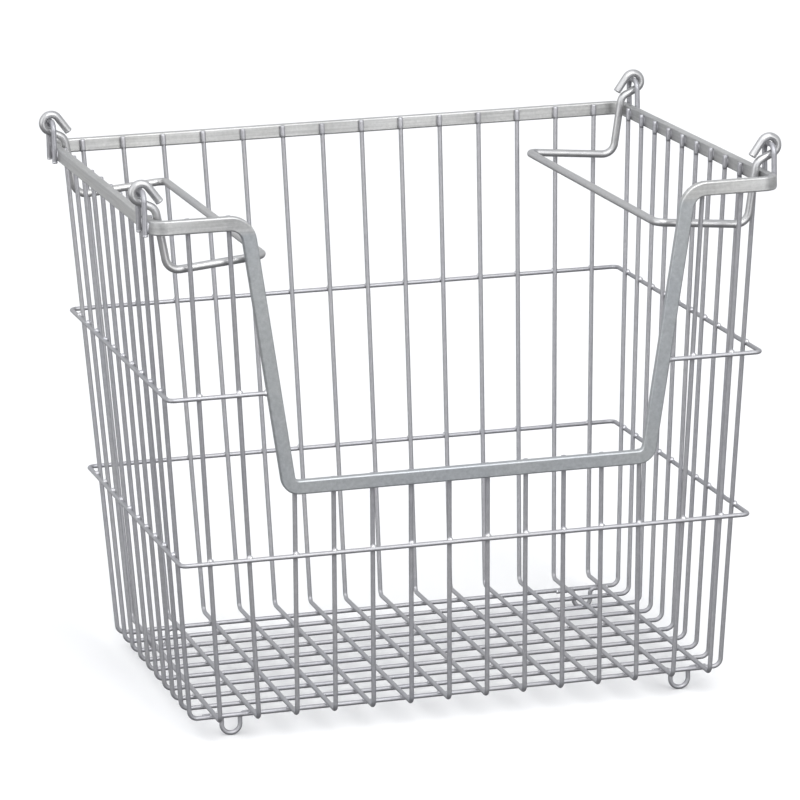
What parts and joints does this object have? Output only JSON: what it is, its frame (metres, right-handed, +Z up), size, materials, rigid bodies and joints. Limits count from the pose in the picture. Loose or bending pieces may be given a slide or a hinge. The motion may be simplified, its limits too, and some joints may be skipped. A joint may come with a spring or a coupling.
{
  "type": "wire produce basket",
  "caption": "Deep rectangular wire basket with tapered walls, a flat-bar rim dipping round a front scoop, wire feet and swinging stacking bails.",
  "frame": {"origin": "on the floor under the middle of the basket's overall box", "axes": "+Z up, +X to the right seen from the scoop side, -Y out through the front scoop"},
  "size_m": [0.3982, 0.2996, 0.3455],
  "materials": {
    "rim_bar": "satin silver-grey coat over flat steel bar",
    "wire": "satin silver-grey coat over drawn steel wire",
    "eye": "satin silver-grey coat over bent steel wire",
    "bail": "satin silver-grey coat over steel rod"
  },
  "bodies": {
    "basket": {"rim_bar": "rim_bar", "lengthwise_wire_01": "wire", "lengthwise_wire_02": "wire", "lengthwise_wire_03": "wire", "lengthwise_wire_04": "wire", "lengthwise_wire_05": "wire", "lengthwise_wire_06": "wire", "lengthwise_wire_07": "wire", "lengthwise_wire_08": "wire", "lengthwise_wire_09": "wire", "lengthwise_wire_10": "wire", "lengthwise_wire_11": "wire", "lengthwise_wire_12": "wire", "lengthwise_wire_13": "wire", "lengthwise_wire_14": "wire", "crosswise_wire_01": "wire", "crosswise_wire_02": "wire", "crosswise_wire_03": "wire", "crosswise_wire_04": "wire", "crosswise_wire_05": "wire", "crosswise_wire_06": "wire", "crosswise_wire_07": "wire", "crosswise_wire_08": "wire", "crosswise_wire_09": "wire", "crosswise_wire_10": "wire", "upper_hoop": "wire", "lower_hoop": "wire", "eye_front_left": "eye", "eye_front_right": "eye", "eye_back_left": "eye", "eye_back_right": "eye", "foot_front_left": "wire", "foot_front_right": "wire", "foot_back_left": "wire", "foot_back_right": "wire"},
    "left_bail": {"left_bail": "bail"},
    "right_bail": {"right_bail": "bail"}
  },
  "joints": [
    {"name": "left_bail_swing", "type": "hinge", "parent": "basket", "child": "left_bail", "pos_m": [-0.19159, 0, 0.33875], "axis": [0, -1, 0], "range_deg": [0, 303]},
    {"name": "right_bail_swing", "type": "hinge", "parent": "basket", "child": "right_bail", "pos_m": [0.19159, 0, 0.33875], "axis": [0, 1, 0], "range_deg": [0, 303]}
  ]
}
